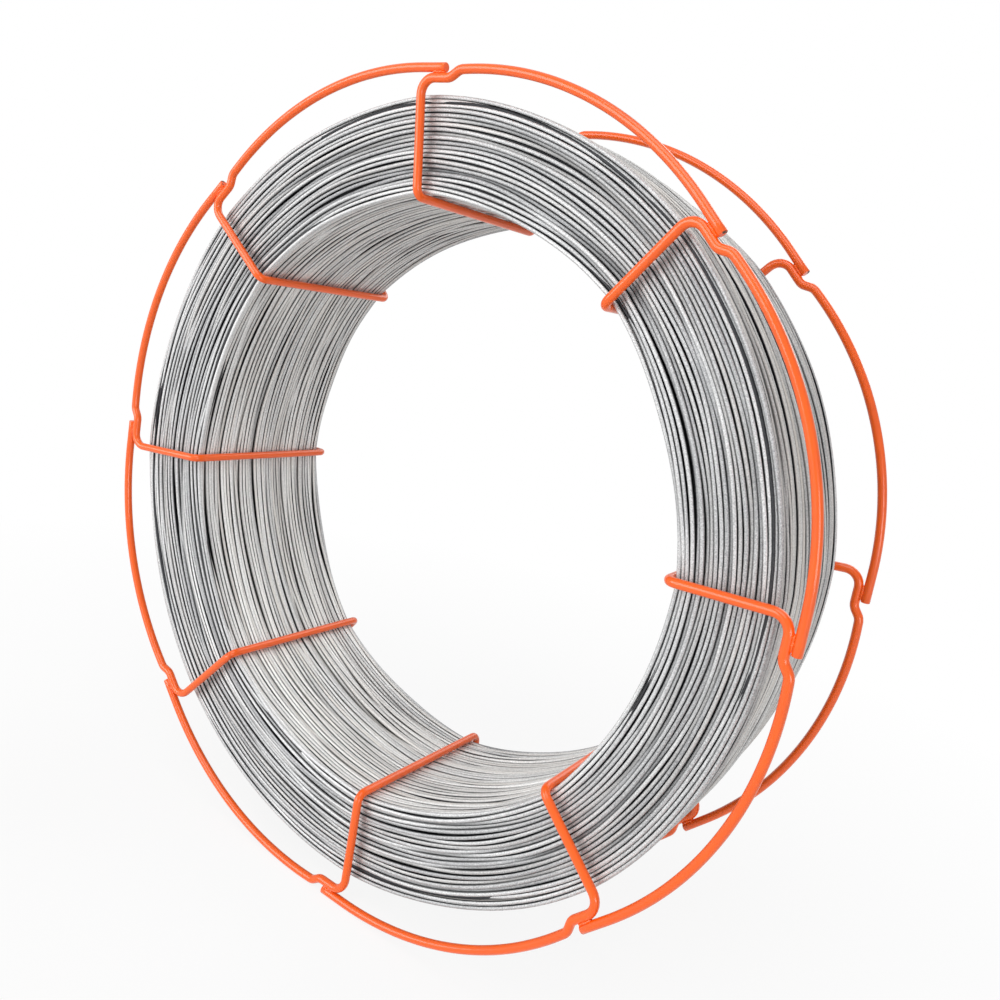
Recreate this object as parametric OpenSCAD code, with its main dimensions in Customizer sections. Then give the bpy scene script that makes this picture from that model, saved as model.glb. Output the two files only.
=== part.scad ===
// Coil of hard wire on a welded basket spool, standing on its two rims.
// Millimetres. X is across, Y is the spool's axis, Z is up, and the floor is at Z = 0.

/* [Basket] */
// Diameter over the rims
rim_d = 415; // [405:1:425]
// Width over the two rims
rim_w = 112.5; // [110:0.5:116]
// Thickness of the basket's rod
rod_d = 4.2; // [4:0.1:5]
// Depth of the basket, from over the rim to inside the bars
basket_depth = 62.5; // [58:0.5:66]
// Width between the spokes where they leave the bars
throat_w = 95; // [92:0.5:97]
// Radius that each length of rim is bent to, on its centreline
rim_bend_r = 164; // [155:1:175]
// Bend radius between a bar and its spokes, on the centreline
bar_bend_r = 4.5; // [4:0.5:5]
// Bend radius between a spoke and its rim, on the centreline
spoke_bend_r = 7; // [6:0.5:8]

/* [Laps] */
// Length of the rim's free end that lies along the next rod
lap_l = 13.7; // [12:0.1:16]
// Depth of the weld between two lapped rods
weld_gap = 0.2; // [0.1:0.05:0.4]
// Length of the joggle that brings a rod out to the rim
joggle_l = 11; // [10:0.5:14]
// Bend radius in the joggle, on the centreline
joggle_r = 6; // [5:0.5:7]
// From either end of the joggle to the corner of its bend
joggle_lead = 3; // [2.5:0.1:3.2]

/* [Coil] */
// Thickness of the coiled wire
wire_d = 2; // [1.8:0.1:2.1]
// How far the rims stand out past the last layer, at the least
rim_free = 16; // [14:0.5:40]
// How far each layer sinks between the turns below it
layer_nest = 0.13; // [0.05:0.01:0.3]
// Room between the coil and the bars
bar_gap = 0.15; // [0.1:0.05:0.3]
// Room between the spokes and the end turns of the first layer
spoke_gap_in = 1; // [0.9:0.1:1.5]
// Room between the spokes and the end turns of the last layer
spoke_gap_out = 2.4; // [0.5:0.1:4]

/* [Hidden] */
$fn = 96;
rods = 8;
rod_step = 360 / rods;
straight_draw = 0.02; // straight runs are this much thinner than the bends
joint_sink = 0.05;    // and reach this far into them
turn_inset = 0.1;     // from the coil's bore and outside to its end turns
paint = [0.94, 0.39, 0.16];
steel = [0.72, 0.72, 0.71];

function polar(r, a, z = 0) = [r * cos(a), r * sin(a), z];
function unit(v) = v / norm(v);
function heading(path, i) = unit(path[i + 1] - path[i]);
function turn(path, i) = acos(heading(path, i - 1) * heading(path, i));
function setback(path, radii, i) = radii[i] == 0 ? 0 : radii[i] * tan(turn(path, i) / 2);

bore_d = rim_d - 2 * basket_depth;

// A rod's own frame has its spoke along X, its rim running towards Y and the spool's axis along Z.
// Each length of rim is an arc about lobe_c, so the rim has one shallow lobe to a rod.
rim_z = (rim_w - rod_d) / 2;
lobe_off = (rim_d - rod_d) / 2 - rim_bend_r;
notch_a = (lap_l + joggle_l / 2) / (rim_d / 2) * 180 / PI;
lobe_a = rod_step / 2 + notch_a;
lobe_c = polar(lobe_off, lobe_a);

// The free end leaves its arc opposite the next rod's spoke, and lies outside that rod's lap.
lap_r = rim_bend_r - rod_d - weld_gap;
off_spoke = lobe_off * sin(rod_step - lobe_a);
corner_r = lobe_off * cos(rod_step - lobe_a) + sqrt(pow(lap_r, 2) - pow(off_spoke, 2));
end_ray = polar(corner_r, rod_step) - lobe_c;
end_a = atan2(end_ray[1], end_ray[0]);
lap_a = end_a - rod_step;
lap_dir = polar(1, lap_a + 90);

// Corners of a rod, from its bar to the start of its front rim
bar_corner = [(bore_d + rod_d) / 2, 0, -(throat_w + rod_d) / 2];
bar_mid = [bar_corner[0], 0, 0];
spoke_corner = polar(corner_r, 0, -rim_z);
lap_corner = spoke_corner + (lap_l + joggle_lead) * lap_dir;
joggle_end = spoke_corner + (lap_l + joggle_l) * lap_dir;
start_a = lap_a + asin((joggle_end - lobe_c) * lap_dir / rim_bend_r);
rim_start = lobe_c + polar(rim_bend_r, start_a, -rim_z);
rim_corner = rim_start - joggle_lead * polar(1, start_a + 90);
rim_end = lobe_c + polar(rim_bend_r, end_a, -rim_z);
free_end = rim_end + lap_l * polar(1, end_a + 90);

rod_path = [bar_mid, bar_corner, spoke_corner, lap_corner, rim_corner, rim_start];
rod_bends = [0, bar_bend_r, spoke_bend_r, joggle_r, joggle_r, 0];

// The spool stands in a notch of its rims: on a free end and on the arc that follows it.
end_toe_r = norm([free_end[0], free_end[1]]);
end_toe_a = atan2(free_end[1], free_end[0]) - rod_step;
toe = polar(end_toe_r, end_toe_a) + polar((rod_d - straight_draw) / 2, lap_a);
toe_ray = toe - lobe_c;
tread_r = rim_bend_r + rod_d / 2;
rest_a = atan2(toe_ray[1], toe_ray[0]) + acos(tread_r / norm(toe_ray));
axis_h = tread_r + lobe_c * polar(1, rest_a);

// The coil fills the basket from its bars to the last whole layer, and its ends lean as the spokes do.
coil_r = bore_d / 2 + rod_d + bar_gap;
layer_step = wire_d - layer_nest;
pack_d = rim_d / 2 - rim_free - coil_r - 2 * turn_inset;
layers = 1 + floor((pack_d - wire_d) / layer_step);
coil_out_r = coil_r + wire_d + (layers - 1) * layer_step + 2 * turn_inset;
spoke_dir = heading(rod_path, 1);
spoke_in_z = throat_w / 2;
spoke_out_z = -bar_corner[2] - (spoke_dir[2] * (coil_out_r - bar_corner[0]) + rod_d / 2) / spoke_dir[0];
end_in_z = spoke_in_z - spoke_gap_in - wire_d / 2;
end_out_z = spoke_out_z - spoke_gap_out - wire_d / 2;
function turn_r(k) = coil_r + turn_inset + wire_d / 2 + k * layer_step;
function turn_z(r) = end_in_z + (end_out_z - end_in_z) * (r - coil_r) / (coil_out_r - coil_r);

// Stands the spool's frame up, with its X upward and its Z along the model's Y
module stand() {
    translate([0, 0, axis_h]) rotate([-90, 0, 0]) rotate([0, 0, -90]) children();
}

module rod_run(from, to, past = joint_sink) {
    dir = unit(to - from);
    translate(from - joint_sink * dir)
        rotate([0, acos(dir[2]), atan2(dir[1], dir[0])])
            cylinder(d = rod_d - straight_draw, h = norm(to - from) + joint_sink + past);
}

module rod_arc(r, angle) {
    rotate_extrude(angle = angle) translate([r, 0]) circle(d = rod_d);
}

// The bend at corner i, from its first tangent point to its last
module rod_bend(path, radii, i) {
    ahead = heading(path, i - 1);
    after = heading(path, i);
    out = -unit(after - (after * ahead) * ahead);
    axis = cross(out, ahead);
    centre = path[i] - setback(path, radii, i) * ahead - radii[i] * out;
    multmatrix([for (k = [0 : 2]) [out[k], ahead[k], axis[k], centre[k]]])
        rod_arc(radii[i], turn(path, i));
}

// Spoke, lap, joggle and rim at the front
module rod_front() {
    for (i = [1 : len(rod_path) - 2]) {
        dir = heading(rod_path, i);
        rod_bend(rod_path, rod_bends, i);
        rod_run(rod_path[i] + setback(rod_path, rod_bends, i) * dir,
                rod_path[i + 1] - setback(rod_path, rod_bends, i + 1) * dir);
    }
    translate([lobe_c[0], lobe_c[1], -rim_z]) rotate([0, 0, start_a])
        rod_arc(rim_bend_r, end_a - start_a);
    rod_run(rim_end, free_end, past = 0);
}

module basket_wire(i) {
    bar_end = bar_corner + [0, 0, setback(rod_path, rod_bends, 1)];
    color(paint) stand() rotate([0, 0, 180 - rest_a + (i - 1) * rod_step]) {
        rod_run(bar_end, [bar_end[0], 0, -bar_end[2]]);
        rod_front();
        mirror([0, 0, 1]) rod_front();
    }
}

// Half section of the coil: a solid pack with the end turn of every layer on both ends
module coil_section() {
    polygon([[coil_r, -turn_z(coil_r)], [coil_out_r, -turn_z(coil_out_r)],
             [coil_out_r, turn_z(coil_out_r)], [coil_r, turn_z(coil_r)]]);
    for (k = [0 : layers - 1], side = [-1, 1])
        translate([turn_r(k), side * turn_z(turn_r(k))]) circle(d = wire_d);
}

module wire_coil() {
    color(steel) stand() rotate_extrude() coil_section();
}

for (i = [1 : rods])
    basket_wire(i);
wire_coil();
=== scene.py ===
"""A coil of hard wire on a welded basket spool, dressed around the packed frame."""

import math
from typing import NamedTuple

import bpy
import numpy as np
from bpy.props import FloatProperty, FloatVectorProperty, IntProperty, PointerProperty
from mathutils import Matrix, Vector


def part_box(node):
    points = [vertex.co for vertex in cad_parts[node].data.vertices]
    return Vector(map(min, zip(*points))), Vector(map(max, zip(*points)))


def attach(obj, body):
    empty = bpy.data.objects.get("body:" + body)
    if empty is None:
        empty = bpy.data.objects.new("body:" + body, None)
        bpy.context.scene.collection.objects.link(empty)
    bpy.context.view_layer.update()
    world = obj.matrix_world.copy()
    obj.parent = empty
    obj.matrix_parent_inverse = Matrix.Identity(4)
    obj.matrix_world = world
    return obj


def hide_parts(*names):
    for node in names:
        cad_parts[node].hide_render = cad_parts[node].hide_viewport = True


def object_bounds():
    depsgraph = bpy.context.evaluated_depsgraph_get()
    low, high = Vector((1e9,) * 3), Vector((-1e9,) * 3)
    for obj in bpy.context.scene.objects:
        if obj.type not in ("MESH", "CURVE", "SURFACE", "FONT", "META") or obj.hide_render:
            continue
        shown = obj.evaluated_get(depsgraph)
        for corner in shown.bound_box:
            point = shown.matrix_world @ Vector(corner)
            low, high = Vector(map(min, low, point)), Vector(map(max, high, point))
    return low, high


bl_info = {
    "name": "Wire Coil on a Basket Spool",
    "version": (1, 0, 0),
    "blender": (4, 5, 0),
    "location": "3D View > Sidebar > Wire Coil",
    "description": "Dresses a coil of hard wire, its basket spool and a plain studio stage",
    "category": "Object",
}

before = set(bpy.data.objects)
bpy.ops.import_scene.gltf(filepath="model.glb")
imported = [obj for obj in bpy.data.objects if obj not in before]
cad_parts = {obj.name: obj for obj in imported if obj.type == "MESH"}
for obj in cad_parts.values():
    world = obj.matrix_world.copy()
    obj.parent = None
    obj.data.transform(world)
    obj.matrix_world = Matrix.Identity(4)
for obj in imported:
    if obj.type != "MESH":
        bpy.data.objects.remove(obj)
CAD_BOX = [list(corner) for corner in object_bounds()]
COIL_LOW, COIL_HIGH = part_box("wire_coil")

FULL_TURN = 2 * math.pi
RIGHT_ANGLE = math.pi / 2
RODS = sum(name.startswith("basket_wire_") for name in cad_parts)
ROD_STEP = FULL_TURN / RODS
AXIS_HEIGHT = (COIL_LOW.z + COIL_HIGH.z) / 2
WHITE = (1, 1, 1, 1)
SHADE_FROM = 0.5  # value of the wire's shade attribute at which it begins to darken


# ---------------------------------------------------------------- settings


def length(name, description, default):
    return FloatProperty(
        name=name, description=description, default=default, min=0, precision=5, unit="LENGTH"
    )


def colour(name, description, default):
    return FloatVectorProperty(
        name=name, description=description, default=default, min=0, max=1, subtype="COLOR"
    )


class BasketSizes(bpy.types.PropertyGroup):
    """Sizes of the welded basket"""

    rim_diameter: length("Rim Diameter", "Diameter over the rims", 0.415)
    rim_width: length("Rim Width", "Width over the two rims", CAD_BOX[1][1] - CAD_BOX[0][1])
    rod: length("Rod", "Thickness of the rod", 0.0042)
    bore: length("Bore", "Diameter inside the bars", 0.29)
    throat: length("Throat", "Width between the spokes where they leave the bars", 0.095)
    rim_bend: length("Rim Bend", "Radius that each length of rim is bent to", 0.164)
    bar_bend: length("Bar Bend", "Bend radius between a bar and its spokes", 0.0045)
    spoke_bend: length("Spoke Bend", "Bend radius between a spoke and its rim", 0.007)
    lap: length("Lap", "Length of free end that lies along the next rod", 0.0137)
    weld: length("Weld", "Depth of the weld between two lapped rods", 0.0002)
    joggle: length("Joggle", "Length of the joggle that brings a rod out to the rim", 0.011)
    joggle_bend: length("Joggle Bend", "Bend radius in the joggle", 0.006)
    joggle_lead: length("Joggle Lead", "From an end of the joggle to its corner", 0.003)
    stand: FloatProperty(
        name="Standing Angle",
        description="Turn that stands the spool in a notch of its rims",
        default=math.radians(5.799),
        subtype="ANGLE",
    )


class CoilSizes(bpy.types.PropertyGroup):
    """Sizes of the wound coil"""

    wire: length("Wire", "Thickness of the wire", 0.002)
    bore_radius: length("Bore Radius", "Radius of the coil's bore", 0.14935)
    outer_radius: length("Outer Radius", "Radius of its outside", COIL_HIGH.z - AXIS_HEIGHT)
    bore_half: length("Half Width in the Bore", "From the middle to an end, at the bore", 0.0465)
    outer_half: length("Half Width Outside", "From the middle to an end, outside", COIL_HIGH.y)
    layers: IntProperty(name="Layers", description="Layers of wire on the spool", default=22)
    turns: IntProperty(name="Turns", description="Turns across the first layer", default=44)
    stray: length("Stray", "How far a turn strays sideways between the rods", 0.00035)
    sink: length("Sink", "How much deeper one turn lies than the next", 0.0003)
    deepest: length("Deepest", "The furthest that a turn lies below the surface", 0.0026)
    flat: length("Flat", "How far the first layer runs inside its circle between bars", 0.0026)
    outer_flat: length("Outer Flat", "The same of the last layer", 0.0012)
    grow: length("Grow", "How far the last layer stands out past the round size", 0.0011)
    lean: length("Lean", "How far the last layer is off centre", 0.0013)
    lean_angle: FloatProperty(
        name="Lean Angle",
        description="Where the last layer stands out most, clockwise from the top",
        default=math.radians(-61),
        subtype="ANGLE",
    )
    missing: IntProperty(
        name="Missing Layers", description="Last layers that stop short of the rear", default=2
    )


class Finishes(bpy.types.PropertyGroup):
    """Colours of the paint and the wire"""

    paint: colour("Paint", "The basket's paint", (0.93, 0.120, 0.005))
    worn_paint: colour("Worn Paint", "Paint that is rubbed or thin", (0.70, 0.080, 0.012))
    bare_end: colour("Bare End", "Steel at the rods' cut ends", (0.16, 0.085, 0.05))
    wire_light: colour("Light Wire", "The lightest turns", (0.95, 0.955, 0.95))
    wire_dark: colour("Dark Wire", "The darkest turns", (0.22, 0.225, 0.235))
    wire_warm: colour("Warm Wire", "Turns with a warmer tone", (0.67, 0.63, 0.58))
    # painted shade: the colour of layers that lie in the dark; the paint also uses it for the dark
    # of bare steel at chips and cut ends
    shade: colour("Shade", "The layers that lie in the dark", (0.012, 0.013, 0.017))


class StageSettings(bpy.types.PropertyGroup):
    """Camera, floor and light"""

    camera_place: FloatVectorProperty(
        name="Camera Place",
        description="Where the camera stands",
        default=(0.26786, -0.36542, 0.31552),
        subtype="TRANSLATION",
        unit="LENGTH",
    )
    camera_right: FloatVectorProperty(
        name="Camera Right",
        description="The picture's right in the scene",
        default=(0.81173, 0.55006, 0.19632),
        subtype="DIRECTION",
    )
    camera_back: FloatVectorProperty(
        name="Camera Back",
        description="From the picture towards the viewer",
        default=(0.52359, -0.83429, 0.17267),
        subtype="DIRECTION",
    )
    lens: FloatProperty(
        name="Lens", description="Focal length on a 36 mm picture", default=31.576, unit="CAMERA"
    )
    shift_x: FloatProperty(name="Shift X", description="Sideways shift", default=-0.02255)
    shift_y: FloatProperty(name="Shift Y", description="Upward shift", default=-0.0461)
    floor: colour("Floor", "The pale floor", (0.82, 0.82, 0.82))
    surround: FloatProperty(
        name="Surround", description="Light from the white surround", default=0.28, min=0
    )


# ---------------------------------------------------------------- finishes


class Socket:
    """A shader socket that takes part in Python arithmetic. Each operation adds a Math node."""

    def __init__(self, tree, socket=None):
        self.tree = tree
        self.socket = socket

    def node(self, kind, settings=None, sockets=None, output=0):
        """Any node: its settings, then the values or links of its sockets."""
        made = self.tree.nodes.new(kind)
        for key, value in (settings or {}).items():
            setattr(made, key, value)
        for key, value in (sockets or {}).items():
            if isinstance(value, Socket):
                self.tree.links.new(value.socket, made.inputs[key])
            else:
                made.inputs[key].default_value = value
        return Socket(self.tree, made.outputs[output] if made.outputs else None)

    def beside(self, output):
        """Another output of the same node."""
        return Socket(self.tree, self.socket.node.outputs[output])

    def math(self, operation, first, second, clamp=False):
        settings = {"operation": operation, "use_clamp": clamp}
        return self.node("ShaderNodeMath", settings, {0: first, 1: second})

    def __add__(self, other):
        return self.math("ADD", self, other)

    __radd__ = __add__

    def __sub__(self, other):
        return self.math("SUBTRACT", self, other)

    def __rsub__(self, other):
        return self.math("SUBTRACT", other, self)

    def __mul__(self, other):
        return self.math("MULTIPLY", self, other)

    __rmul__ = __mul__

    def largest(self, other):
        return self.math("MAXIMUM", self, other)

    def within(self, low, high):
        """Nought up to low, one from high, and a straight ramp between."""
        return self.math("MULTIPLY", self - low, 1 / (high - low), clamp=True)

    def sway(self, amount, middle=0.5):
        """This noise about its middle, times an amount."""
        return (self - middle) * amount

    def mix(self, first, second):
        """From the first colour to the second as this value goes from nought to one."""
        settings = {"data_type": "RGBA", "clamp_factor": True}
        return self.node("ShaderNodeMix", settings, {0: self, 6: first, 7: second}, output=2)

    def noise(self, scale, detail=2.0, roughness=0.5):
        """Noise in the object's own space, with this many features to a metre."""
        sockets = {"Vector": self, "Scale": scale, "Detail": detail, "Roughness": roughness}
        return self.node("ShaderNodeTexNoise", None, sockets)

    def attribute(self, name):
        return self.node("ShaderNodeAttribute", {"attribute_name": name}, output="Fac")

    def bump(self, distance):
        return self.node("ShaderNodeBump", None, {"Distance": distance, "Height": self})


def opaque(value):
    return (*value, 1.0)


def new_finish(name):
    """A material with an empty tree, and the object's own coordinates in it."""
    material = bpy.data.materials.new(name)
    material.use_nodes = True
    tree = material.node_tree
    tree.nodes.clear()
    return material, Socket(tree).node("ShaderNodeTexCoord", output="Object")


def finish_once(name, make, settings):
    """The material of that name, made the first time that it is asked for."""
    return bpy.data.materials.get(name) or make(settings)


def set_surface(place, **sockets):
    """The surface shader; underscores in the sockets' names stand for spaces."""
    values = {key.replace("_", " "): value for key, value in sockets.items()}
    shader = place.node("ShaderNodeBsdfPrincipled", None, values)
    place.node("ShaderNodeOutputMaterial", None, {"Surface": shader})


def wire_finish(finishes):
    """Drawn wire: a fine grain, tones from turn to turn, painted lighter or darker for each face,
    painted shade in the valleys and on deep turns, and a dull metal gloss.
    """
    material, place = new_finish("drawn_wire")
    tone = place.attribute("tone")
    warmth = place.attribute("warmth")
    shade = place.attribute("shade").within(SHADE_FROM, 1.0)
    grain = place.noise(scale=1900, roughness=0.6)
    cloud = place.noise(scale=38, detail=3.0)
    light = tone + grain.sway(1.2) + cloud.sway(0.2)
    grey = light.within(0.0, 1.0).mix(opaque(finishes.wire_dark), opaque(finishes.wire_light))
    toned = (warmth * (0.4 + cloud)).mix(grey, opaque(finishes.wire_warm))
    set_surface(
        place,
        Base_Color=shade.mix(toned, opaque(finishes.shade)),
        Metallic=0.9,
        Roughness=0.58 + grain * 0.15,
        Normal=grain.bump(distance=0.00008),
    )
    return material


def shade_finish(finishes):
    """The layers below the outer turns: painted shade, dark with a faint grain, for wire that lies
    in the dark.
    """
    material, place = new_finish("inner_layers")
    grain = place.noise(scale=700)
    set_surface(
        place,
        Base_Color=grain.mix(opaque(finishes.shade), opaque(finishes.wire_dark)),
        Metallic=0.4,
        Roughness=0.6 + grain * 0.2,
    )
    return material


def paint_finish(finishes):
    """Dipped paint: thin and thick places, a faint orange peel, chips and bare cut ends."""
    material, place = new_finish("basket_paint")
    bare = place.attribute("bare")
    wear = place.attribute("wear")
    cloud = place.noise(scale=55, detail=3.0)
    peel = place.noise(scale=260)
    speck = place.noise(scale=900, roughness=0.6)
    thin = cloud.sway(0.7, middle=0.45) + peel.sway(0.2) + wear * 0.1
    paint = thin.within(0.0, 1.0).mix(opaque(finishes.paint), opaque(finishes.worn_paint))
    chip = (speck + cloud * 0.25 + wear * 0.02).within(0.98, 1.0)
    steel = speck.mix(opaque(finishes.bare_end), opaque(finishes.shade))
    gone = chip.largest(bare * peel.within(0.56, 0.62))
    set_surface(
        place,
        Base_Color=gone.mix(paint, steel),
        Roughness=0.25 + peel * 0.1 + gone * 0.3,
        Specular_IOR_Level=0.3,
        Coat_Weight=0.5 - gone * 0.5,
        Coat_Roughness=0.1,
        Normal=(gone * -1).bump(distance=0.00005),
    )
    return material


# ---------------------------------------------------------------- surfaces


def unit(vectors):
    return vectors / np.linalg.norm(vectors, axis=-1, keepdims=True)


def full_circle(steps):
    """Evenly spaced angles of a full turn, from nought."""
    return np.linspace(0, FULL_TURN, steps, endpoint=False)


def on_spool(radius, angle, along):
    """A point at a radius from the axis, at an angle clockwise from straight up as seen from
    the front, and along the axis towards the rear."""
    radius, angle, along = np.broadcast_arrays(radius, angle, along)
    across = radius * np.sin(angle)
    height = AXIS_HEIGHT + radius * np.cos(angle)
    return np.stack([across, along, height], axis=-1)


def closed_quads(tubes, steps, sides):
    """Quads of tubes closed both ways: from each point one step on, one side on, and back."""
    here = np.arange(tubes * steps * sides).reshape(tubes, steps, sides)
    ahead = np.roll(here, -1, axis=1)
    corners = [here, ahead, np.roll(ahead, -1, axis=2), np.roll(here, -1, axis=2)]
    return np.stack(corners, axis=-1).reshape(-1, 4)


def open_quads(steps, sides):
    """Quads of one tube with two open ends."""
    return closed_quads(1, steps, sides).reshape(steps, sides, 4)[:-1].reshape(-1, 4)


def add_piece(name, points, quads, material, stands_for, caps=(), values=None):
    """Puts a grid of points into a mesh, hangs it under the root body and hides the parts that it
    stands for.
    """
    mesh = bpy.data.meshes.new(name)
    points = points.reshape(-1, 3)
    corners = np.concatenate([quads.ravel(), *caps]).astype(np.int32)
    sizes = [4] * len(quads) + [len(cap) for cap in caps]
    starts = np.concatenate([[0], np.cumsum(sizes)[:-1]]).astype(np.int32)
    smooth = np.arange(len(sizes)) < len(quads)
    mesh.vertices.add(len(points))
    mesh.vertices.foreach_set("co", points.astype(np.float32).ravel())
    mesh.loops.add(len(corners))
    mesh.loops.foreach_set("vertex_index", corners)
    mesh.polygons.add(len(sizes))
    mesh.polygons.foreach_set("loop_start", starts)
    mesh.update(calc_edges=True)
    mesh.polygons.foreach_set("use_smooth", smooth)
    for key, value in (values or {}).items():
        layer = mesh.attributes.new(key, "FLOAT", "POINT")
        layer.data.foreach_set("value", value.astype(np.float32).ravel())
    if mesh.validate():
        raise RuntimeError(f"the mesh of {name} isn't sound")
    mesh.materials.append(material)
    piece = bpy.data.objects.new(name, mesh)
    bpy.context.scene.collection.objects.link(piece)
    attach(piece, "root")
    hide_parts(*stands_for)


# ---------------------------------------------------------------- basket

ROD_SIDES = 20
BEND_STEPS = 9
RIM_STEPS = 60
RUN_LENGTH = 0.005  # between two points of a straight run
CHAMFER = 0.06  # of a cut end, as a share of the rod's thickness
WEAR_BAND = 0.05  # outer share of the basket's radius that is rubbed

WELD_STEPS = 22
WELD_SIDES = 14
WELD_SEED = 11
WELD_PLACE = 0.0098  # from the spoke's corner to the middle of a weld
WELD_SHIFT = 0.0006  # the most by which that place differs
WELD_HALF_LENGTH = 0.0036
WELD_HALF_WIDTH = 0.00085
WELD_HALF_DEPTH = 0.00178
WELD_TAPER = 0.995  # how nearly a weld closes at its ends
WELD_WEAR = 0.6
LONG_LUMPS, LONG_LUMP_RATE = 0.10, 7  # size, and radians along half a weld
SHORT_LUMPS, SHORT_LUMP_RATE = 0.07, 15


def polar(radius, angle, along=0.0):
    """A point of a rod's own frame, whose Z is the spool's axis."""
    return np.array([radius * math.cos(angle), radius * math.sin(angle), along])


class Rod:
    """A bent rod's corners, in its own frame: its spoke along X, its rim towards Y."""

    def __init__(self, sizes):
        rod, rim_bend = sizes.rod, sizes.rim_bend
        rim_z = (sizes.rim_width - rod) / 2
        lobe = (sizes.rim_diameter - rod) / 2 - rim_bend
        notch = (sizes.lap + sizes.joggle / 2) / (sizes.rim_diameter / 2)
        lobe_angle = ROD_STEP / 2 + notch
        self.lobe_centre = polar(lobe, lobe_angle, -rim_z)
        beside = lobe * math.sin(ROD_STEP - lobe_angle)
        lap_radius = rim_bend - rod - sizes.weld
        corner = lobe * math.cos(ROD_STEP - lobe_angle) + math.sqrt(lap_radius**2 - beside**2)
        ray = polar(corner, ROD_STEP, -rim_z) - self.lobe_centre
        self.end_angle = math.atan2(ray[1], ray[0])
        lap_angle = self.end_angle - ROD_STEP
        self.lap_ahead = polar(1, lap_angle + RIGHT_ANGLE)
        self.lap_out = polar(1, lap_angle)
        self.spoke_corner = polar(corner, 0, -rim_z)
        bar_corner = np.array([(sizes.bore + rod) / 2, 0, -(sizes.throat + rod) / 2])
        bar_middle = bar_corner * [1, 1, 0]
        lap_corner = self.spoke_corner + (sizes.lap + sizes.joggle_lead) * self.lap_ahead
        joggle_end = self.spoke_corner + (sizes.lap + sizes.joggle) * self.lap_ahead
        reach = (joggle_end - self.lobe_centre) @ self.lap_ahead
        self.start_angle = lap_angle + math.asin(reach / rim_bend)
        rim_start = self.lobe_centre + polar(rim_bend, self.start_angle)
        rim_corner = rim_start - sizes.joggle_lead * polar(1, self.start_angle + RIGHT_ANGLE)
        rim_end = self.lobe_centre + polar(rim_bend, self.end_angle)
        self.free_end = rim_end + sizes.lap * polar(1, self.end_angle + RIGHT_ANGLE)
        self.corners = [bar_middle, bar_corner, self.spoke_corner]
        self.corners += [lap_corner, rim_corner, rim_start]
        self.bends = [sizes.bar_bend, sizes.spoke_bend, sizes.joggle_bend, sizes.joggle_bend]
        self.rim_bend = rim_bend


def run(start, end):
    """Evenly spaced points of a straight run, without its last point."""
    steps = max(1, round(np.linalg.norm(end - start) / RUN_LENGTH))
    return start + (end - start) * (np.arange(steps) / steps)[:, None]


def bend(before, corner, after, radius):
    """Points of an arc that touches both legs of a corner: its centre, plus its radius outward
    times the cosine and ahead times the sine of an angle that runs through the turn."""
    ahead, beyond = unit(corner - before), unit(after - corner)
    turn = math.acos(ahead @ beyond)
    out = -unit(beyond - (beyond @ ahead) * ahead)
    centre = corner - radius * math.tan(turn / 2) * ahead - radius * out
    sweep = np.linspace(0, turn, BEND_STEPS)[:, None]
    return centre + radius * (np.cos(sweep) * out + np.sin(sweep) * ahead)


def rod_path(rod):
    """The rod's centreline: from its front free end along the rim, the spoke and the bar, and
    the same in reverse at the rear."""
    points, last = [], rod.corners[0]
    legs = zip(rod.corners, rod.corners[1:], rod.corners[2:], rod.bends)
    for before, corner, after, radius in legs:
        arc = bend(before, corner, after, radius)
        points += [run(last, arc[0]), arc[:-1]]
        last = arc[-1]
    points.append(run(last, rod.corners[-1]))
    sweep = np.linspace(rod.start_angle, rod.end_angle, RIM_STEPS)[:, None]
    rim = rod.lobe_centre + rod.rim_bend * np.hstack([np.cos(sweep), np.sin(sweep), 0 * sweep])
    points += [rim[:-1], run(rim[-1], rod.free_end), rod.free_end[None]]
    half = np.concatenate(points)
    return np.concatenate([half[::-1], half[1:] * [1, 1, -1]])


def turned(points, angle):
    """Points of a rod's own frame, turned to its place on the spool and stood up."""
    across = points[..., 0] * math.sin(angle) + points[..., 1] * math.cos(angle)
    height = points[..., 0] * math.cos(angle) - points[..., 1] * math.sin(angle)
    return np.stack([across, points[..., 2], AXIS_HEIGHT + height], axis=-1)


def rod_angle(sizes, number):
    return math.pi - sizes.stand + number * ROD_STEP


def rod_skin(path, radius):
    """A round tube along the path: at each point a circle across the path's own direction, whose
    radius may change along it."""
    ahead = unit(np.gradient(path, axis=0))
    lean = np.array([1.0, 1.0, 1.0])
    out = unit(lean - (ahead @ lean)[:, None] * ahead)
    side = np.cross(out, ahead)
    around = full_circle(ROD_SIDES)[:, None]
    ring = np.cos(around) * out[:, None] + np.sin(around) * side[:, None]
    return path[:, None] + radius[:, None, None] * ring


def weld_skin(rod, sizes, phase):
    """A lumpy bead along the front lap: an oval across the lap that closes towards both ends, by
    the root of one less the fourth power of the way from its middle, times a sum of two sines."""
    along = np.linspace(-1, 1, WELD_STEPS)[:, None]
    around = full_circle(WELD_SIDES)[None, :]
    taper = np.sqrt(1 - along**4 * WELD_TAPER)
    swirl = phase[0] + np.sin(around + phase[1])
    lump = 1 + LONG_LUMPS * np.sin(LONG_LUMP_RATE * along + swirl)
    lump = lump + SHORT_LUMPS * np.sin(SHORT_LUMP_RATE * along + 2 * around + phase[2])
    wide = WELD_HALF_WIDTH * taper * lump * np.cos(around)
    deep = WELD_HALF_DEPTH * taper * lump * np.sin(around)
    long = WELD_HALF_LENGTH * along + 0 * around
    seam = rod.spoke_corner + (sizes.rod + sizes.weld) / 2 * rod.lap_out
    middle = seam + (WELD_PLACE + WELD_SHIFT * np.sin(phase[3])) * rod.lap_ahead
    skin = middle + long[..., None] * rod.lap_ahead + wide[..., None] * rod.lap_out
    skin[..., 2] += deep
    return skin


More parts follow.
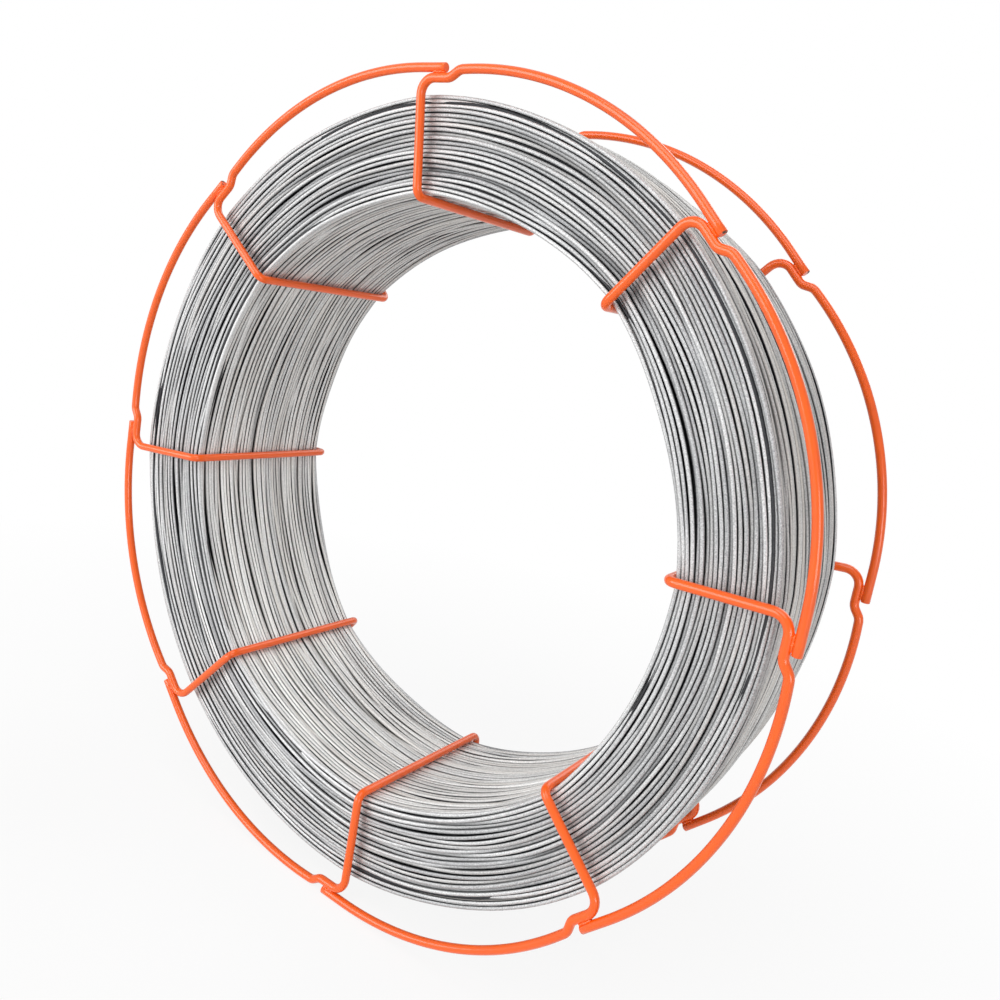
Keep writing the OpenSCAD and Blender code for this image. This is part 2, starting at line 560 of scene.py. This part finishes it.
class WIRECOIL_OT_basket_rods(bpy.types.Operator):
    """Sweep the eight bent rods of the basket, painted, with bare cut ends"""

    bl_idname = "wire_coil.basket_rods"
    bl_label = "Basket Rods"

    def execute(self, context):
        sizes = context.scene.basket_sizes
        material = finish_once("basket_paint", paint_finish, context.scene.finishes)
        own = rod_path(Rod(sizes))
        chamfer = CHAMFER * sizes.rod
        first, last = own[:1], own[-1:]
        ends = unit(own[[1, -2]] - own[[0, -1]]) * chamfer
        path = np.concatenate([first, first + ends[:1], own[1:-1], last + ends[1:], last])
        radius = np.full(len(path), sizes.rod / 2)
        radius[[0, -1]] -= chamfer
        bare = np.zeros((len(path), ROD_SIDES))
        bare[[0, -1]] = 1
        reach = np.hypot(path[:, 0], path[:, 1])
        wear = ((reach / reach.max() - 1) / WEAR_BAND + 1).clip(0, 1)
        wear = np.repeat(wear[:, None], ROD_SIDES, axis=1)
        ring = np.arange(ROD_SIDES)
        caps = [ring, ring[::-1] + (len(path) - 1) * ROD_SIDES]
        quads = open_quads(len(path), ROD_SIDES)
        for number in range(RODS):
            add_piece(
                f"basket_rod_{number + 1}",
                rod_skin(turned(path, rod_angle(sizes, number)), radius),
                quads,
                material,
                [f"basket_wire_{number + 1}"],
                caps,
                {"bare": bare, "wear": wear},
            )
        return {"FINISHED"}


class WIRECOIL_OT_lap_welds(bpy.types.Operator):
    """Fill the valleys between the lapped rods with lumpy weld"""

    bl_idname = "wire_coil.lap_welds"
    bl_label = "Lap Welds"

    def execute(self, context):
        sizes = context.scene.basket_sizes
        material = finish_once("basket_paint", paint_finish, context.scene.finishes)
        rod = Rod(sizes)
        rng = np.random.default_rng(WELD_SEED)
        ring = np.arange(WELD_SIDES)
        own_quads = open_quads(WELD_STEPS, WELD_SIDES)
        skins, quads, caps = [], [], []
        for number in range(RODS):
            for mirror in (1, -1):
                skin = weld_skin(rod, sizes, rng.uniform(0, FULL_TURN, 4))
                skin[..., 2] *= mirror
                skins.append(turned(skin, rod_angle(sizes, number)))
                first = len(quads) * WELD_STEPS * WELD_SIDES
                last = first + (WELD_STEPS - 1) * WELD_SIDES
                quads.append(own_quads[:, ::mirror] + first)
                caps += [(first + ring)[::mirror], (last + ring)[::-mirror]]
        points = np.stack(skins)
        grid = points.shape[:-1]
        add_piece(
            "lap_welds",
            points,
            np.concatenate(quads),
            material,
            [],
            caps,
            {"bare": np.zeros(grid), "wear": np.full(grid, WELD_WEAR)},
        )
        return {"FINISHED"}


# ---------------------------------------------------------------- coil

TURN_STEPS = 180  # points along a turn that shows
TURN_SIDES = 8
UNDER_STEPS = 120  # points along a turn of the row beneath
UNDER_SIDES = 5

HELD_SHARE = 0.72  # of a turn's stray that a rod takes away
HELD_REACH = 0.17  # of the angle between two rods, over which it does
SETTLE_SWEEPS = 4
SETTLE_BLUR = (1, 2, 3, 4, 5, 4, 3, 2, 1)  # weights of a depth and of those beside it
TURN_INSET = 0.05  # wires from the bore or the outside to the end turns
UNDER_DROP = 0.9  # wires from the turns down to the row beneath
BODY_INSET = 1.4  # wires from the deepest turn down to the body painted in shade
STOPS = (0.12, 0.7)  # where the missing layers stop, as shares of the way to the rear

TONES = (0.46, 0.68)  # lightness of the darkest and the lightest turn
TONE_DRIFT = 0.06  # by which it differs along a turn
WARM_SPREAD = 0.15
UNDER_SHADED_TONE = 0.5  # lightness of the row beneath, as a share of the turns above: painted shade
UNDER_SHADE = 0.88
SUNK_SHADE = 0.55  # of the turns that lie deepest
SUNK_FROM = 0.3  # share of the deepest place from which they darken
ROOM_SHADE = 0.8  # in a valley that is wider by one wire
DROP_SHADE = 0.6  # in a valley below a turn that is higher by one wire
EDGE_SHADE = 0.5  # beside the first and the last turn


class Winding(NamedTuple):
    """How one face of the coil is wound"""

    seed: int
    outward: float  # the skin's angle that faces out
    waves: int  # waves in a turn's stray
    crease: float  # shade in the valleys
    light: float  # how much lighter the turns are painted: painted light on this face above nought, painted shade below it
    warm: float  # share of warm turns
    swell: float = 0.0  # depth of the hollows between turns that stand proud
    margin: float = 0.0  # from the first and last turn to the end turns beside them


# A face's light paints all its turns lighter or darker for how the light falls on it: the bore
# lighter, the ends and the outside darker
FRONT = Winding(seed=668, outward=-RIGHT_ANGLE, waves=12, crease=1.35, light=-0.14, warm=-0.1)
REAR = FRONT._replace(seed=22, outward=RIGHT_ANGLE)
BORE = Winding(seed=31, outward=math.pi, waves=10, crease=1.2, light=0.1, warm=0.25)
OUTSIDE = Winding(seed=41, outward=0.0, waves=8, crease=1.3, light=-0.2, warm=0.35, swell=0.0005)


class Row(NamedTuple):
    """Turns side by side: values that differ from turn to turn and round the coil"""

    angles: np.ndarray  # round the coil, alike for all turns
    sides: int
    across: np.ndarray  # sideways place
    depth: np.ndarray  # below the surface
    tone: np.ndarray
    warmth: np.ndarray
    shade: np.ndarray


def stray(rng, turns, angles, waves, fall, share):
    """Closed wandering lines, one to a turn: a sum of sines of one to so many waves round the
    coil, whose sizes fall off as a power of the wave's number. Neighbours share part of theirs."""
    number = np.arange(1, waves + 1)
    size = number**-fall
    size /= np.sqrt((size**2).sum())
    draws = rng.normal(size=(2, turns, waves))
    draws = draws + share * (np.roll(draws, 1, axis=1) + np.roll(draws, -1, axis=1))
    draws /= math.sqrt(1 + 2 * share**2)
    phase = number[:, None] * angles[None, :]
    return (draws[0] * size) @ np.cos(phase) + (draws[1] * size) @ np.sin(phase)


def settle(across, depth, wire, deepest):
    """Where two neighbours lie closer than one thickness, the deeper one sinks until they just
    touch: its depth below the other, squared, is the thickness squared less the spacing squared.
    Each depth is then a weighted mean of those next to it along its turn."""
    for _ in range(SETTLE_SWEEPS):
        for turn in range(len(depth) - 1):
            room = np.sqrt(np.clip(wire**2 - (across[turn + 1] - across[turn]) ** 2, 0, None))
            drop = depth[turn + 1] - depth[turn]
            lack = np.clip(room - np.abs(drop), 0, None)
            depth[turn + 1] += np.where(drop >= 0, lack, 0)
            depth[turn] += np.where(drop < 0, lack, 0)
        depth -= np.clip(depth - deepest, 0, None)
    first = -(len(SETTLE_BLUR) // 2)
    shifted = (w * np.roll(depth, first + i, axis=1) for i, w in enumerate(SETTLE_BLUR))
    return sum(shifted) / sum(SETTLE_BLUR)


def held(angles, basket):
    """One between the rods, and less where a rod holds the turns: a dip in the shape of a bell at
    every rod's angle."""
    off = (angles - rod_angle(basket, 0) + ROD_STEP / 2) % ROD_STEP - ROD_STEP / 2
    return 1 - HELD_SHARE * np.exp(-((off / (HELD_REACH * ROD_STEP)) ** 2))


def layer_share(sizes, radius):
    """How far a radius lies from the bore, at nought, to the outside, at one."""
    return (radius - sizes.bore_radius) / (sizes.outer_radius - sizes.bore_radius)


def wound_radius(sizes, basket, radius, angles):
    """The radius of a wound layer. The layers run flatter between two bars, by a parabola that is
    nought at both, and the last ones stand out a little and lie off centre, by a cosine of the
    angle."""
    share = layer_share(sizes, radius)
    between = (angles - rod_angle(basket, 0)) / ROD_STEP % 1
    midway = 4 * between * (1 - between)
    flat = sizes.flat * (1 - share) ** 2 * midway
    outer_flat = sizes.outer_flat * (midway - 2 / 3)
    lean = sizes.lean * np.cos(angles - sizes.lean_angle)
    return radius - flat + share * (sizes.grow + lean - outer_flat)


def end_place(sizes, radius):
    """Half the coil's width at a radius, to the middle of its end turns."""
    wider = (sizes.outer_half - sizes.bore_half) * layer_share(sizes, radius)
    return sizes.bore_half + wider - sizes.wire / 2


def layer_places(sizes):
    """Radii of the end turns, one to a layer, evenly spaced from the bore to the outside."""
    inset = TURN_INSET * sizes.wire + sizes.wire / 2
    return np.linspace(sizes.bore_radius + inset, sizes.outer_radius - inset, sizes.layers)


def layer_step(sizes):
    places = layer_places(sizes)
    return places[1] - places[0]


def turn_skins(radius, along, angles, wire, sides):
    """Closed round wires: at each angle a circle of half the thickness about the wire's centre,
    in the plane through the axis."""
    around = full_circle(sides)
    skin_radius = radius[..., None] + wire / 2 * np.cos(around)
    skin_along = along[..., None] + wire / 2 * np.sin(around)
    return on_spool(skin_radius, angles[:, None], skin_along)


def valley_shade(winding, row, wire):
    """Shade in the valleys: it grows as the skin turns from the outward angle, and is more on the
    side where the neighbour stands higher or further off."""
    around = full_circle(row.sides)
    turned_off = np.clip(1 - np.cos(around - winding.outward), 0, 1)
    lateral = np.cos(around) * abs(math.sin(winding.outward))
    lateral = lateral + np.sin(around) * abs(math.cos(winding.outward))
    room = ROOM_SHADE * (np.diff(row.across, axis=0) / wire - 1)
    drop = DROP_SHADE * np.diff(row.depth, axis=0) / wire
    edge = np.full((1, len(row.angles)), EDGE_SHADE)
    after = np.concatenate([winding.crease + room - drop, edge])
    before = np.concatenate([edge, winding.crease + room + drop])
    return turned_off * np.where(lateral >= 0, after[..., None], before[..., None])


def outer_row(winding, places, sizes, basket):
    """The row of turns that shows. A turn's sideways place is its even place plus its stray, and
    its depth is what is left after settling. The turns that lie deepest are shaded."""
    rng = np.random.default_rng(winding.seed)
    turns = len(places)
    angles = full_circle(TURN_STEPS)

    def wander(waves, fall, share):
        return stray(rng, turns, angles, waves, fall, share)

    wide = wander(winding.waves, fall=0.45, share=0.45)
    across = places[:, None] + sizes.stray * held(angles, basket) * wide
    depth = sizes.sink * (1 + wander(waves=7, fall=0.5, share=0.1))
    depth += winding.swell * (1 + wander(waves=4, fall=0.4, share=0.9))
    depth = settle(across, np.clip(depth, 0, None), sizes.wire, sizes.deepest)
    # the face's painted light or shade is added to each turn's own random tone
    tone = winding.light + rng.uniform(*TONES, turns)[:, None]
    tone = tone + TONE_DRIFT * wander(waves=6, fall=0.5, share=0.2)
    warmth = np.clip(rng.normal(winding.warm, WARM_SPREAD, turns), 0, 1)[:, None] + 0 * angles
    sunk = ((depth / sizes.deepest - SUNK_FROM) / (1 - SUNK_FROM)).clip(0, 1)
    return Row(angles, TURN_SIDES, across, depth, tone, warmth, SUNK_SHADE * sunk)


def under_row(outer, winding, sizes):
    """The row beneath, midway between the turns above and nearly one wire down. Where the winding
    has a margin, one more turn lies beside the first and one beside the last."""
    pick = np.linspace(0, TURN_STEPS, UNDER_STEPS, endpoint=False).astype(int)
    above, sunk = outer.across[:, pick], outer.depth[:, pick]
    across = (above[1:] + above[:-1]) / 2
    depth = np.maximum(sunk[1:], sunk[:-1]) + UNDER_DROP * sizes.wire
    # painted shade: the row beneath is painted darker than the turns above it
    tone = UNDER_SHADED_TONE * outer.tone[1:, pick]
    if winding.margin:
        half = winding.margin / 2
        across = np.concatenate([above[:1] - half, across, above[-1:] + half])
        depth, tone = (np.pad(value, ((1, 1), (0, 0)), mode="edge") for value in (depth, tone))
    warmth, shade = np.zeros(depth.shape), np.full(depth.shape, UNDER_SHADE)
    return Row(outer.angles[pick], UNDER_SIDES, across, depth, tone, warmth, shade)


def wound_rows(winding, places, sizes, basket, lay):
    """The points, quads and finish of the outer row of turns and the row beneath it. The function
    lay turns a sideways place and a depth into a radius and a place along the axis."""
    points, quads, count = [], [], 0
    values = {"tone": [], "warmth": [], "shade": []}
    outer = outer_row(winding, places, sizes, basket)
    for row in (outer, under_row(outer, winding, sizes)):
        radius, along = lay(row.across, row.depth)
        radius = wound_radius(sizes, basket, radius, row.angles)
        skin = turn_skins(radius, along, row.angles, sizes.wire, row.sides)
        quads.append(closed_quads(*skin.shape[:3]) + count)
        points.append(skin.reshape(-1, 3))
        count += len(points[-1])
        sunk = SHADE_FROM + (1 - SHADE_FROM) * row.shade[..., None]
        shade = np.maximum(sunk, valley_shade(winding, row, sizes.wire))
        finish = row.tone[..., None], row.warmth[..., None], shade
        for rows, value in zip(values.values(), finish):
            rows.append(np.broadcast_to(value, skin.shape[:3]).ravel())
    joined = {key: np.concatenate(rows) for key, rows in values.items()}
    return np.concatenate(points), np.concatenate(quads), joined


def add_turns(context, name, winding, places, lay):
    sizes = context.scene.coil_sizes
    basket = context.scene.basket_sizes
    material = finish_once("drawn_wire", wire_finish, context.scene.finishes)
    points, quads, values = wound_rows(winding, places, sizes, basket, lay)
    add_piece(name, points, quads, material, ["wire_coil"], values=values)


def add_layer(context, name, winding, radius, turns, lay):
    """Turns side by side across the coil, evenly spaced between the end turns at a radius."""
    reach = end_place(context.scene.coil_sizes, radius)
    places = np.linspace(-reach, reach, turns + 2)[1:-1]
    winding = winding._replace(margin=places[1] - places[0])
    add_turns(context, name, winding, places, lay)


class WIRECOIL_OT_end_turns(bpy.types.Operator):
    """Lay the end turns of every layer, at the front and at the rear"""

    bl_idname = "wire_coil.end_turns"
    bl_label = "End Turns"

    def execute(self, context):
        sizes = context.scene.coil_sizes
        ends = (("front_turns", FRONT, -1, 0), ("rear_turns", REAR, 1, sizes.missing))
        for name, winding, side, missing in ends:

            def lay(place, sunk, side=side):
                return place, side * (end_place(sizes, place) - sunk)

            places = layer_places(sizes)[: sizes.layers - missing]
            add_turns(context, name, winding, places, lay)
        return {"FINISHED"}


class WIRECOIL_OT_bore_turns(bpy.types.Operator):
    """Lay the turns of the first layer, which show in the bore"""

    bl_idname = "wire_coil.bore_turns"
    bl_label = "Bore Turns"

    def execute(self, context):
        sizes = context.scene.coil_sizes

        def lay(place, sunk):
            return sizes.bore_radius + sizes.wire / 2 + sunk, place

        add_layer(context, "bore_turns", BORE, sizes.bore_radius, sizes.turns, lay)
        return {"FINISHED"}


class WIRECOIL_OT_outside_turns(bpy.types.Operator):
    """Lay the turns of the last layer, which show on the outside"""

    bl_idname = "wire_coil.outside_turns"
    bl_label = "Outside Turns"

    def execute(self, context):
        sizes = context.scene.coil_sizes
        turns = round(sizes.turns * sizes.outer_half / sizes.bore_half)
        stops = end_place(sizes, sizes.outer_radius) * np.linspace(*STOPS, sizes.missing)

        def lay(place, sunk):
            passed = ((place[..., None] - stops) / sizes.wire + 0.5).clip(0, 1).sum(axis=-1)
            step = passed * layer_step(sizes)
            return sizes.outer_radius - sizes.wire / 2 - sunk - step, place

        add_layer(context, "outside_turns", OUTSIDE, sizes.outer_radius, turns, lay)
        return {"FINISHED"}


class WIRECOIL_OT_inner_layers(bpy.types.Operator):
    """Turn the body of layers below the outer turns, dark with painted shade"""

    bl_idname = "wire_coil.inner_layers"
    bl_label = "Inner Layers"

    def execute(self, context):
        sizes = context.scene.coil_sizes
        material = finish_once("inner_layers", shade_finish, context.scene.finishes)
        inset = sizes.deepest + BODY_INSET * sizes.wire
        inner, outer = sizes.bore_radius + inset, sizes.outer_radius - inset
        inner_half, outer_half = (end_place(sizes, radius) - inset for radius in (inner, outer))
        rear = outer - sizes.missing * layer_step(sizes)
        profile = np.array(
            [[inner, inner_half], [inner, -inner_half], [outer, -outer_half], [rear, outer_half]]
        )
        angles = full_circle(TURN_STEPS)[:, None]
        radius = wound_radius(sizes, context.scene.basket_sizes, profile[:, 0], angles)
        skin = on_spool(radius, angles, profile[:, 1])
        quads = closed_quads(1, TURN_STEPS, len(profile))
        add_piece("inner_layers", skin, quads, material, ["wire_coil"])
        return {"FINISHED"}


# ---------------------------------------------------------------- stage

FLOOR_REACH = 6.0
FLOOR_LIT = 0.12  # share of the floor's own light, and so of its shadows, near the spool
LIT_REACH = (0.2, 0.6)  # distances over which that share fades
GLOSSY_SURROUND = 0.7  # how far reflections see the surround as white
SENSOR_WIDTH = 36
CLIP_START = 0.01
LAMPS = (  # name, place, diameter and power
    ("top_lamp", (0.3, -0.8, 1.8), 1.4, 13),
    ("key_lamp", (-1.1, -1.9, 0.6), 1.8, 35),
    ("right_lamp", (1.5, -1.0, 0.2), 0.8, 9),
    ("back_lamp", (0.3, 1.9, 1.6), 1.8, 17),
)


def floor_finish(stage):
    """A pale floor that the camera and reflections see as white, apart from a soft shadow."""
    material, place = new_finish("studio_floor")
    ray = place.node("ShaderNodeLightPath", output="Is Camera Ray")
    seen = ray.largest(ray.beside("Is Glossy Ray").largest(ray.beside("Is Transmission Ray")))
    far = place.node("ShaderNodeVectorMath", {"operation": "LENGTH"}, {0: place}, output="Value")
    white = seen * (1 - FLOOR_LIT + FLOOR_LIT * far.within(*LIT_REACH))
    lit = place.node("ShaderNodeBsdfDiffuse", None, {"Color": opaque(stage.floor)})
    glow = place.node("ShaderNodeEmission", None, {"Color": WHITE, "Strength": 1.0})
    surface = place.node("ShaderNodeMixShader", None, {0: white, 1: lit, 2: glow})
    place.node("ShaderNodeOutputMaterial", None, {"Surface": surface})
    return material


def add_floor(scene):
    """A flat square about the spool, at the height that it stands on."""
    mesh = bpy.data.meshes.new("studio_floor")
    reach = np.array([-FLOOR_REACH, FLOOR_REACH])
    flat = np.stack([*np.meshgrid(reach, reach), np.zeros((2, 2))], axis=-1).reshape(-1, 3)
    mesh.from_pydata(flat.tolist(), [], [(0, 1, 3, 2)])
    mesh.materials.append(floor_finish(scene.stage_settings))
    floor = bpy.data.objects.new("studio_floor", mesh)
    scene.collection.objects.link(floor)


def set_surround(scene):
    """A surround that the camera sees as white, reflections as nearly white, and that lights the
    spool with less."""
    low = scene.stage_settings.surround
    world = bpy.data.worlds.new("white_surround")
    world.use_nodes = True
    world.node_tree.nodes.clear()
    start = Socket(world.node_tree)
    ray = start.node("ShaderNodeLightPath", output="Is Camera Ray")
    strength = low + (1 - low) * (ray + GLOSSY_SURROUND * ray.beside("Is Glossy Ray"))
    sockets = {"Color": WHITE, "Strength": strength}
    sky = start.node("ShaderNodeBackground", None, sockets)
    start.node("ShaderNodeOutputWorld", None, {"Surface": sky})
    scene.world = world


def add_lamp(scene, name, place, size, power):
    """A round lamp that faces the middle of the coil."""
    data = bpy.data.lights.new(name, "AREA")
    data.shape = "DISK"
    data.size = size
    data.energy = power
    lamp = bpy.data.objects.new(name, data)
    lamp.location = place
    sight = Vector((0, 0, AXIS_HEIGHT)) - Vector(place)
    lamp.rotation_euler = sight.to_track_quat("-Z", "Y").to_euler()
    scene.collection.objects.link(lamp)


def add_camera(scene):
    stage = scene.stage_settings
    data = bpy.data.cameras.new("camera")
    data.sensor_width = SENSOR_WIDTH
    data.lens = stage.lens
    data.shift_x, data.shift_y = stage.shift_x, stage.shift_y
    data.clip_start = CLIP_START
    camera = bpy.data.objects.new("camera", data)
    right, back = Vector(stage.camera_right), Vector(stage.camera_back)
    turn = Matrix((right, back.cross(right), back)).transposed()
    camera.matrix_world = Matrix.Translation(stage.camera_place) @ turn.to_4x4()
    scene.collection.objects.link(camera)
    scene.camera = camera


class WIRECOIL_OT_stage(bpy.types.Operator):
    """Set the floor, the white surround, the lamps and the camera"""

    bl_idname = "wire_coil.stage"
    bl_label = "Studio Stage"

    def execute(self, context):
        context.scene.view_settings.view_transform = "Standard"
        add_floor(context.scene)
        set_surround(context.scene)
        for lamp in LAMPS:
            add_lamp(context.scene, *lamp)
        add_camera(context.scene)
        return {"FINISHED"}


# ---------------------------------------------------------------- add-on


class WIRECOIL_PT_panel(bpy.types.Panel):
    """Lists the settings and the steps that dress the coil"""

    bl_idname = "WIRECOIL_PT_panel"
    bl_label = "Wire Coil"
    bl_space_type = "VIEW_3D"
    bl_region_type = "UI"
    bl_category = "Wire Coil"

    def draw(self, context):
        for name, group in GROUPS.items():
            box = self.layout.box()
            box.label(text=group.__doc__)
            for key in group.__annotations__:
                box.prop(getattr(context.scene, name), key)
        for operator in OPERATORS:
            self.layout.operator(operator.bl_idname)


GROUPS = {
    "basket_sizes": BasketSizes,
    "coil_sizes": CoilSizes,
    "finishes": Finishes,
    "stage_settings": StageSettings,
}
OPERATORS = (
    WIRECOIL_OT_basket_rods,
    WIRECOIL_OT_lap_welds,
    WIRECOIL_OT_end_turns,
    WIRECOIL_OT_bore_turns,
    WIRECOIL_OT_outside_turns,
    WIRECOIL_OT_inner_layers,
    WIRECOIL_OT_stage,
)
CLASSES = (*GROUPS.values(), *OPERATORS, WIRECOIL_PT_panel)


def register():
    for kind in CLASSES:
        bpy.utils.register_class(kind)
    for name, group in GROUPS.items():
        setattr(bpy.types.Scene, name, PointerProperty(type=group))


def unregister():
    for name in GROUPS:
        delattr(bpy.types.Scene, name)
    for kind in reversed(CLASSES):
        bpy.utils.unregister_class(kind)


def main():
    register()
    bpy.ops.wire_coil.basket_rods()
    bpy.ops.wire_coil.lap_welds()
    bpy.ops.wire_coil.end_turns()
    bpy.ops.wire_coil.bore_turns()
    bpy.ops.wire_coil.outside_turns()
    bpy.ops.wire_coil.inner_layers()
    bpy.ops.wire_coil.stage()
    bpy.context.view_layer.update()


if __name__ == "__main__":
    main()
